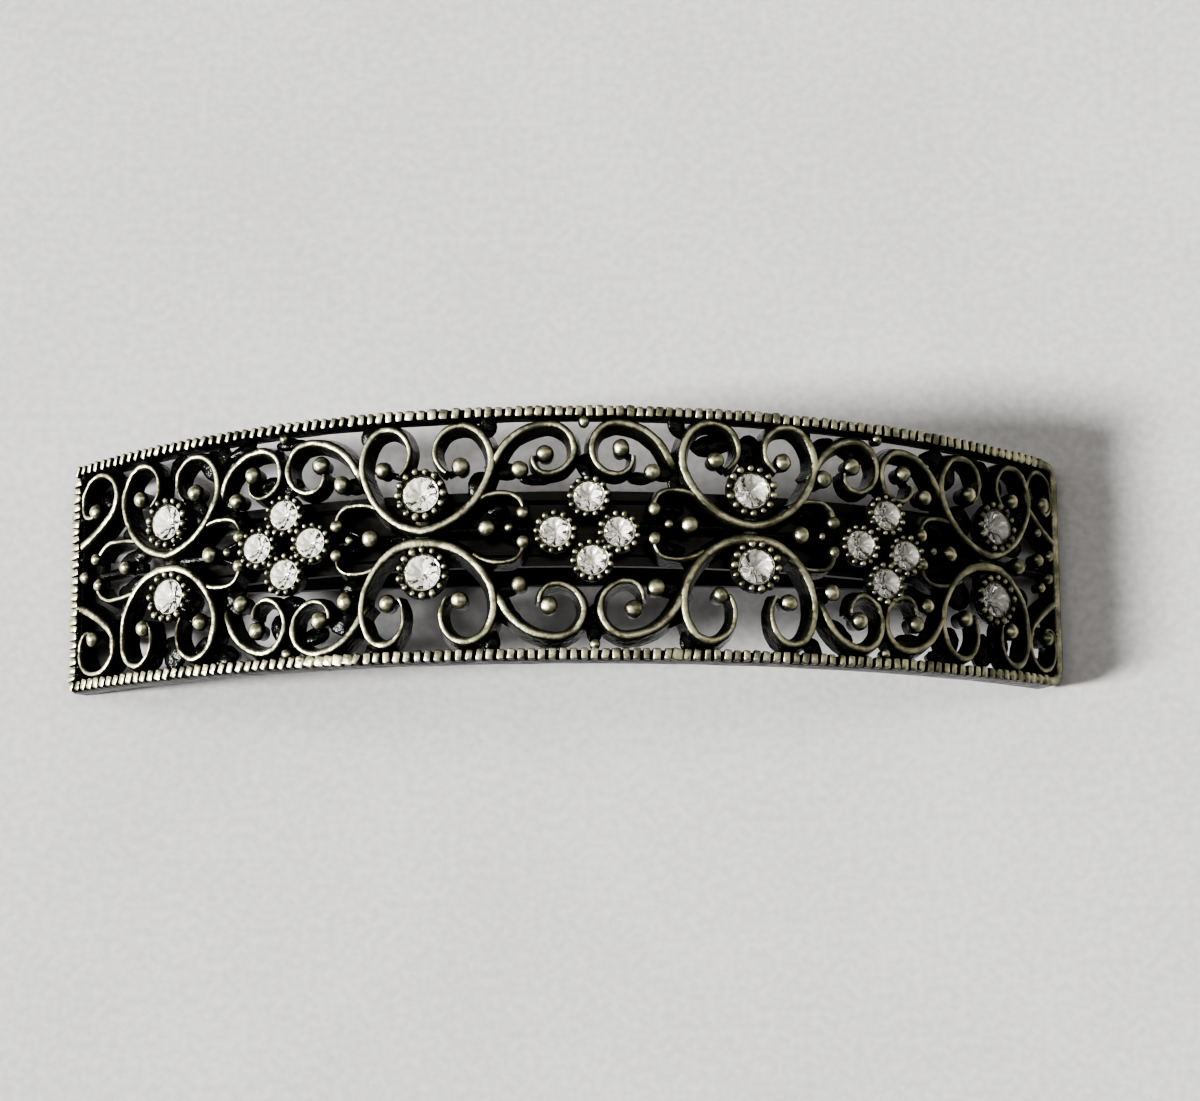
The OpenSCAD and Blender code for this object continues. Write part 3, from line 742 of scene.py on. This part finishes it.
tie_parts = [tie(tip, eye, HORN_TIE_W) for tip, eye in zip(horn_tips, HORN_EYES)]
tie_parts += [tie(tip, eye, SCROLL_TIE_W) for tip, eye in zip(scroll_tips, CORNER_EYES)]
for (s, y, reach, height), root_ball in zip(CORNERS, ROOT_BALLS):
    root = Vector((s + CORNER_START[0] * reach / CORNER_SIZE[0],
                   y + CORNER_START[1] * height / CORNER_SIZE[1]))
    run = Vector(root_ball) - root
    middle = root + run * 0.55
    turn = math.atan2(run.y, run.x)
    tie_parts.append(web(*middle, run.length * 0.5, ROOT_WEB_W, ROOT_WEB_TOP, turn))
    bend = (s + BEND_WEB_PLACE[0] * reach, y + BEND_WEB_PLACE[1] * height)
    tie_parts.append(web(*bend, *BEND_WEB, BEND_WEB_TURN * reach / height))
for s, low, high in KNOTS:
    tie_parts.append(tie((s, low), (s, high), KNOT_W, KNOT_TOP))
for s, y, way in TREFOILS:
    tie_parts.append(tie((s + way * SPINE[0], y), (s + way * SPINE[1], y), top=SPINE_TOP))
    for side in (-1, 1):
        tip = (s + way * TIP_PLACE[0], y + side * TIP_PLACE[1])
        tie_parts.append(tie((s, y), tip, TREFOIL_TIE_W, TREFOIL_TIE_TOP))
tie_parts += [tie(start, end) for start, end in END_TIES]
ties = join_up("casting_ties", tie_parts)
lay_over_bow(ties, uneven=0.2)
keep_as_casting(ties, casting_metal("dark_tie", low=-0.8, high=-0.1, rub=0.25))

# The flash and shade webs: thin crumpled dark webs low down in the openwork. They are partly the
# flash of the same alloy that ran between the ribbons as they were cast, and partly dark sheets
# put as painted shade where the floor under the openwork lies in shade. They are black and
# glossy, and close the narrower gaps.
FLASH_AND_SHADE_WEB_TOP = -0.95
# Columns: along, across, half length, half width, turn in degrees
FLASH_AND_SHADE_WEBS = (
    (-46.5, 7.0, 0.9, 1.0, 0), (-43.6, -3.6, 1.6, 0.7, 20), (-42.9, -1.6, 2.0, 0.9, 0),
    (-42.8, 3.3, 1.6, 0.7, -20), (-42.6, 1.0, 2.0, 0.9, 0), (-37.4, -8.2, 1.3, 1.6, 0),
    (-37.3, 8.3, 1.3, 1.6, 0), (-36.0, -4.0, 1.6, 1.3, 0), (-35.6, 4.3, 1.5, 1.5, 20),
    (-33.8, -8.2, 1.3, 1.1, 20), (-33.6, 7.9, 1.5, 0.9, -30), (-33.0, 8.8, 1.5, 0.8, -10),
    (-31.5, 3.4, 1.3, 0.8, 0), (-31.4, -8.9, 1.2, 0.7, -20), (-31.0, -3.9, 1.4, 0.9, 0),
    (-30.6, 9.2, 1.8, 0.6, 8), (-27.6, 5.6, 1.5, 0.9, 15), (-26.0, -7.3, 0.9, 1.4, 10),
    (-25.2, 9.3, 1.6, 0.6, 0), (-25.0, 5.4, 1.2, 0.9, 0), (-25.0, -9.4, 1.3, 0.5, 0),
    (-25.0, -5.1, 1.4, 0.8, 0), (-22.6, -8.1, 1.4, 0.8, 0), (-19.9, -6.9, 1.4, 1.3, 0),
    (-19.0, -4.0, 1.4, 0.8, 0), (-7.6, 4.4, 1.0, 1.4, 0), (-6.0, 2.2, 1.0, 0.6, 0),
    (-4.9, -7.3, 1.2, 0.8, -40), (-2.5, 4.9, 1.6, 0.5, 0), (1.8, 6.0, 0.8, 1.2, 0),
    (2.5, -7.8, 0.8, 1.8, 0), (6.6, 5.0, 1.2, 0.6, 0), (9.0, -7.5, 1.2, 0.7, 35),
    (9.4, 2.2, 1.1, 0.6, 0), (9.4, -1.2, 1.2, 0.6, 0), (10.1, 4.6, 1.1, 1.7, 0),
    (13.0, 8.1, 1.9, 1.0, 0), (16.4, 7.7, 1.3, 1.6, 0), (22.0, 2.6, 1.2, 0.7, 0),
    (22.0, -2.4, 1.2, 0.7, 0), (23.4, 8.9, 1.4, 0.6, 20), (24.6, -7.9, 1.6, 0.9, -35),
    (26.4, 8.4, 1.6, 0.8, -10), (28.5, 6.3, 0.7, 1.4, 0), (29.0, -6.4, 0.7, 1.4, 0),
    (31.6, -8.3, 1.8, 0.9, 0), (32.9, 7.7, 1.4, 0.9, -30), (34.9, 8.9, 1.4, 0.7, 0),
    (35.0, -9.2, 1.3, 0.6, 0), (35.2, 2.6, 1.1, 0.7, 0), (35.2, -2.6, 1.1, 0.7, 0),
    (36.3, 7.6, 1.2, 1.5, 0), (36.4, -7.6, 1.2, 1.4, 0), (37.2, -3.0, 1.5, 1.8, 20),
    (37.7, 3.2, 1.5, 1.7, -30), (38.9, 9.3, 1.5, 0.5, 0), (40.3, -8.1, 1.2, 1.6, 0),
    (40.7, 7.9, 1.2, 1.6, 0), (42.3, 7.1, 1.2, 1.2, 0), (42.3, -7.3, 1.2, 1.3, 0),
    (44.6, 2.0, 1.5, 0.9, 0), (45.4, -2.6, 1.3, 1.0, 0), (46.5, -8.4, 1.2, 0.7, 0),
    (46.6, 4.6, 1.0, 1.0, 0), (46.8, 8.5, 1.1, 0.7, 0),
)

flash_and_shade_web_parts = []
for s, y, long, wide, turn in FLASH_AND_SHADE_WEBS:
    top = FLASH_AND_SHADE_WEB_TOP + draw.uniform(-0.15, 0.2)
    turn = math.radians(turn + draw.uniform(-15, 15))
    flash_and_shade_web_parts.append(web(s, y, long, wide, top, turn))
flash_and_shade_webs = join_up("casting_flash_and_shade_webs", flash_and_shade_web_parts)
put_away(ball)
lay_over_bow(flash_and_shade_webs, uneven=0.4)
keep_as_casting(flash_and_shade_webs, casting_metal("dark_flash_and_shade_webs", low=-0.8, high=0.1, rub=0.1))

# The cups: round settings for the stones, each with a thin collar that is pressed over the stone,
# on a flange that carries a ring of cast grains. Single stones have larger cups and grains.
CUP_BACK = -METAL_T + 0.16
STATION_R = 1.52
STATION_FLANGE = 0.78
FLOWER_R = 1.27
FLOWER_FLANGE = 0.6
STONE_GAP = 0.06
GRAIN_N = -0.16
GRAIN_HEIGHT = 1.2
STATION_STONES = (
    (-37.8, 3.5), (-37.4, -3.3), (-12.6, 3.6), (-12.4, -3.3),
    (16.3, 4.0), (16.6, -2.7), (41.4, 3.2), (41.1, -3.5),
)
FLOWER_STONES = (
    (-25.3, 2.7), (-27.9, 0.0), (-22.7, 0.0), (-25.2, -2.6),
    (2.0, 3.1), (-0.9, 0.0), (4.6, 0.0), (2.3, -2.5),
    (29.2, 2.8), (26.5, -0.1), (31.1, -0.6), (29.0, -3.3),
)
# Columns: number of grains, their radius, and their ring's radius past the stone
STATION_GRAINS = (14, 0.37, 0.5)
FLOWER_GRAINS = (13, 0.31, 0.36)


def turn_up(name, rings, sides=28):
    """A round form, drawn up from a circle by extruding it to each ring of (radius, height)."""
    let_go()
    bpy.ops.mesh.primitive_circle_add(vertices=sides, radius=rings[0][0], fill_type="NGON",
                                      location=(0, 0, rings[0][1]))
    bpy.ops.object.transform_apply()
    bpy.ops.object.mode_set(mode="EDIT")
    bpy.ops.mesh.select_all(action="SELECT")
    for (last_r, last_n), (r, n) in zip(rings, rings[1:]):
        change = r / last_r
        bpy.ops.mesh.extrude_region_move(TRANSFORM_OT_translate={"value": (0, 0, n - last_n)})
        bpy.ops.transform.resize(value=(change, change, 1), center_override=(0, 0, n))
    bpy.ops.object.mode_set(mode="OBJECT")
    form = bpy.context.object
    form.name = name
    return form


def make_cup(name, r, flange):
    """A cup, from its back out to the flange, up the collar, over the lip and down inside."""
    hole = r + STONE_GAP
    return turn_up(name, (
        (r + 0.3, CUP_BACK), (flange * 0.94, -0.95), (flange, -0.6), (flange * 0.97, -0.42),
        (hole + 0.17, -0.36), (hole + 0.14, -0.05), (hole + 0.08, 0.02), (hole, -0.04),
        (hole, -0.3), (r * 0.6, -0.95), (0.2, -1.2),
    ))


let_go()
bpy.ops.mesh.primitive_uv_sphere_add(segments=8, ring_count=6, radius=1)
grain = bpy.context.object


def ring_of_grains(s, y, r, grains):
    count, size, past = grains
    start = draw.uniform(0, 1)
    parts = []
    for i in range(count):
        angle = 2 * math.pi * (i + start) / count
        reach = r + past + draw.uniform(-0.04, 0.04)
        bulk = size * draw.uniform(0.85, 1.15)
        up = GRAIN_N + draw.uniform(-0.05, 0.05)
        place = (s + reach * math.cos(angle), y + reach * math.sin(angle), up)
        parts.append(copy_at(grain, place, (bulk, bulk, bulk * GRAIN_HEIGHT)))
    return parts


station_cup = make_cup("station_cup", STATION_R, STATION_R + STATION_FLANGE)
flower_cup = make_cup("flower_cup", FLOWER_R, FLOWER_R + FLOWER_FLANGE)
cup_parts = [copy_at(station_cup, spot) for spot in STATION_STONES]
cup_parts += [copy_at(flower_cup, spot) for spot in FLOWER_STONES]
grain_parts = []
for s, y in STATION_STONES:
    grain_parts += ring_of_grains(s, y, STATION_R, STATION_GRAINS)
for s, y in FLOWER_STONES:
    grain_parts += ring_of_grains(s, y, FLOWER_R, FLOWER_GRAINS)
cups = join_up("casting_cups", cup_parts)
grains = join_up("casting_grains", grain_parts)
put_away(station_cup, flower_cup, grain)
lay_over_bow(cups, uneven=0.04)
lay_over_bow(grains, uneven=0.1)
keep_as_casting(cups, casting_metal("dark_cup", low=-0.3, high=0.2, rub=0.6))
keep_as_casting(grains, casting_metal("rubbed_grain", low=-0.4, high=0.0, rub=1.3, facing=0.4))

# The stones: clear cut glass, the solids themselves, with the silver foil that backs each of
# them as a thin cone in the bottom of its cup, which throws the light back up through the facets.
GLASS = (1.0, 0.998, 0.975, 1)
CLOUDY_GLASS = (0.96, 0.955, 0.93, 1)
# The part of the direct light that passes a stone to the foil and the cup under it
LIGHT_PASSED = 0.92
FOIL = (1.0, 0.988, 0.935, 1)
DULL_FOIL = (0.94, 0.925, 0.865, 1)
SEAT_N = -0.12
FOLDS = 8
FOLD_RISE = 0.14

glass, tree, shader = start_material("cut_glass")
coords = add_node(tree, "ShaderNodeTexCoord").outputs["Object"]
cloud = noise_node(tree, coords, 900.0, 2.0)
tint = mix_node(tree, spread_node(tree, cloud, 0.35, 0.65), GLASS, CLOUDY_GLASS)
tree.links.new(tint, shader.inputs["Base Color"])
tree.links.new(spread_node(tree, cloud, 0.4, 0.7, 0.0, 0.03), shader.inputs["Roughness"])
shadow_ray = add_node(tree, "ShaderNodeLightPath").outputs["Is Shadow Ray"]
alpha = sum_node(tree, "MULTIPLY_ADD", shadow_ray, -LIGHT_PASSED, 1.0)
tree.links.new(alpha, shader.inputs["Alpha"])
shader.inputs["Transmission Weight"].default_value = 1.0
shader.inputs["IOR"].default_value = 1.52
for name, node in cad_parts.items():
    if name.startswith("stone_"):
        coat(node, glass)

foil_metal, tree, shader = start_material("silver_foil")
coords = add_node(tree, "ShaderNodeTexCoord").outputs["Object"]
crinkle = spread_node(tree, noise_node(tree, coords, 1500.0, 2.0), 0.35, 0.6)
tree.links.new(mix_node(tree, crinkle, DULL_FOIL, FOIL), shader.inputs["Base Color"])
shader.inputs["Metallic"].default_value = 0.4
shader.inputs["Roughness"].default_value = 0.2


def make_foil(name, r):
    """A foil, whose top is a cone folded halfway up so that every other corner there stands up."""
    point = SEAT_N - 0.62 * r
    halfway = (SEAT_N + point) / 2 - 0.035
    foil = turn_up(name, (
        (0.06, point - 0.07), (r, SEAT_N - 0.09), (r + 0.03, SEAT_N - 0.02),
        (r * 0.98, SEAT_N - 0.045), (r * 0.52, halfway), (0.05, point - 0.025),
    ), 2 * FOLDS)

    def stands_up(place):
        corner = round(math.atan2(place.y, place.x) / math.pi * FOLDS)
        return abs(place.z - halfway) < 0.005 and corner % 2 == 1

    hold(foil)
    bpy.ops.object.mode_set(mode="EDIT")
    pick_points(stands_up)
    bpy.ops.transform.translate(value=(0, 0, FOLD_RISE))
    bpy.ops.object.mode_set(mode="OBJECT")
    return foil


station_foil = make_foil("station_foil", STATION_R)
flower_foil = make_foil("flower_foil", FLOWER_R)
foil_parts = [copy_at(station_foil, spot) for spot in STATION_STONES]
foil_parts += [copy_at(flower_foil, spot) for spot in FLOWER_STONES]
foils = join_up("stone_foils", foil_parts)
put_away(station_foil, flower_foil)
lay_over_bow(foils, uneven=0, smooth=0)
coat(foils, foil_metal)
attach(foils, "barrette")

# The clip: a pressed steel base bar with the hinge's ears and the catch's finger tabs, a thin
# sprung tension bar, a pin, and the arm, which turns on it. They are the solids themselves. Their
# steel is made nearly black, partly for a dark plating and partly as painted shade, since they
# lie in the shade under the openwork.
DARK_STEEL_AND_SHADE = (0.028, 0.0275, 0.025, 1)
STEEL_ROUGHNESS = 0.3
DARK_SPRING_AND_SHADE = (0.022, 0.022, 0.023, 1)
SPRING_ROUGHNESS = 0.36
DULL_PART = 0.55
DRAWN_ALONG = (30.0, 5200.0, 30.0)


def clip_steel(name, color, rough):
    """Drawn steel: fine lines along the bars, and spots where its plating has dulled."""
    steel, tree, shader = start_material(name)
    coords = add_node(tree, "ShaderNodeTexCoord").outputs["Object"]
    drawn = add_node(tree, "ShaderNodeMapping", {"Vector": coords, "Scale": DRAWN_ALONG}).outputs[0]
    lines = noise_node(tree, drawn, 1.0, 3.0)
    spots = spread_node(tree, noise_node(tree, coords, 420.0, 4.0), 0.45, 0.7)
    dull = tuple(DULL_PART * part for part in color[:3]) + (1,)
    tree.links.new(mix_node(tree, spots, color, dull), shader.inputs["Base Color"])
    shader.inputs["Metallic"].default_value = 1.0
    roughness = spread_node(tree, lines, 0.3, 0.7, rough - 0.03, rough + 0.04)
    tree.links.new(roughness, shader.inputs["Roughness"])
    add_relief(tree, shader, lines, 0.1, 0.00001)
    return steel


nickel_plate_and_shade = clip_steel("nickel_plate_and_shade", DARK_STEEL_AND_SHADE, STEEL_ROUGHNESS)
for name in ("clip_base", "clip_arm", "hinge_pin"):
    coat(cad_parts[name], nickel_plate_and_shade)
coat(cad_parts["tension_bar"], clip_steel("spring_steel", DARK_SPRING_AND_SHADE, SPRING_ROUGHNESS))

# The studio: a plain pale floor in a dim room, with a low soft sun from the left and a narrow
# band of glow from left to right overhead, which is dimmer on the right. The camera looks down on
# the barrette from the near side, as the photograph was taken.
FLOOR_DARK = (0.8, 0.786, 0.777, 1)
FLOOR_PALE = (0.95, 0.934, 0.925, 1)
FLOOR_GAP = 0.00002
TO_SUN = Vector((-0.86, -0.15, 0.48))
SUN_ENERGY = 4.8
SUN_SPREAD = math.radians(9)
WARM_WHITE = (1.0, 0.985, 0.955, 1)
ROOM_GLOW = 0.04
BAND_GLOW = 1.45
BAND_Y = 0.14
RIGHT_GLOW = 0.38

let_go()
bpy.ops.mesh.primitive_plane_add(size=1.6, location=(0, 0, -FLOOR_GAP))
floor = bpy.context.object
floor.name = "floor"
paint, tree, shader = start_material("pale_floor")
coords = add_node(tree, "ShaderNodeTexCoord").outputs["Object"]
mottle = noise_node(tree, coords, 38.0, 6.0, 0.6)
fine = noise_node(tree, coords, 1300.0, 4.0)
speckle = sum_node(tree, "MULTIPLY_ADD", fine, 0.9, sum_node(tree, "MULTIPLY", mottle, 0.6))
tint = mix_node(tree, spread_node(tree, speckle, 0.5, 1.0), FLOOR_DARK, FLOOR_PALE)
tree.links.new(tint, shader.inputs["Base Color"])
shader.inputs["Roughness"].default_value = 0.9
coat(floor, paint)

bpy.ops.object.light_add(type="SUN", location=(-0.3, -0.03, 0.25))
light = bpy.context.object
light.name = "key_light"
light.data.angle = SUN_SPREAD
light.data.energy = SUN_ENERGY
light.rotation_euler = TO_SUN.to_track_quat("Z", "Y").to_euler()
world = bpy.data.worlds.new("soft_room")
bpy.context.scene.world = world
world.use_nodes = True
tree = world.node_tree
way = add_node(tree, "ShaderNodeTexCoord").outputs["Generated"]
way = add_node(tree, "ShaderNodeSeparateXYZ", {0: way}).outputs
off_band = sum_node(tree, "ABSOLUTE", sum_node(tree, "SUBTRACT", way["Y"], BAND_Y))
band = spread_node(tree, off_band, 0.04, 0.24, 1.0, 0.0)
dimmed = spread_node(tree, way["X"], 0.4, 0.85, 1.0, RIGHT_GLOW)
lit = sum_node(tree, "MULTIPLY", band, dimmed)
glow = sum_node(tree, "MULTIPLY_ADD", lit, BAND_GLOW, ROOM_GLOW)
background = tree.nodes["Background"].inputs
tree.links.new(glow, background["Strength"])
background["Color"].default_value = WARM_WHITE

AZIMUTH = math.radians(-0.773)
ELEVATION = math.radians(77.235)
ROLL = math.radians(0.483)
DISTANCE = 0.282949
TARGET = Vector((0.002938, -0.001718, (BOW_R + AXIS_Z) * MM))
back = Vector((math.sin(AZIMUTH) * math.cos(ELEVATION), -math.cos(AZIMUTH) * math.cos(ELEVATION),
               math.sin(ELEVATION)))
level = Vector((math.cos(AZIMUTH), math.sin(AZIMUTH), 0))
above = back.cross(level)
right = level * math.cos(ROLL) + above * math.sin(ROLL)
up = above * math.cos(ROLL) - level * math.sin(ROLL)
bpy.ops.object.camera_add()
camera = bpy.context.object
camera.name = "photo_camera"
turn = Matrix((right, up, back)).transposed().to_4x4()
camera.matrix_world = Matrix.Translation(TARGET + back * DISTANCE) @ turn
camera.data.lens = 99.365
camera.data.sensor_width = 36
camera.data.clip_start = 0.01
bpy.context.scene.camera = camera

bpy.context.scene.view_settings.look = "AgX - High Contrast"
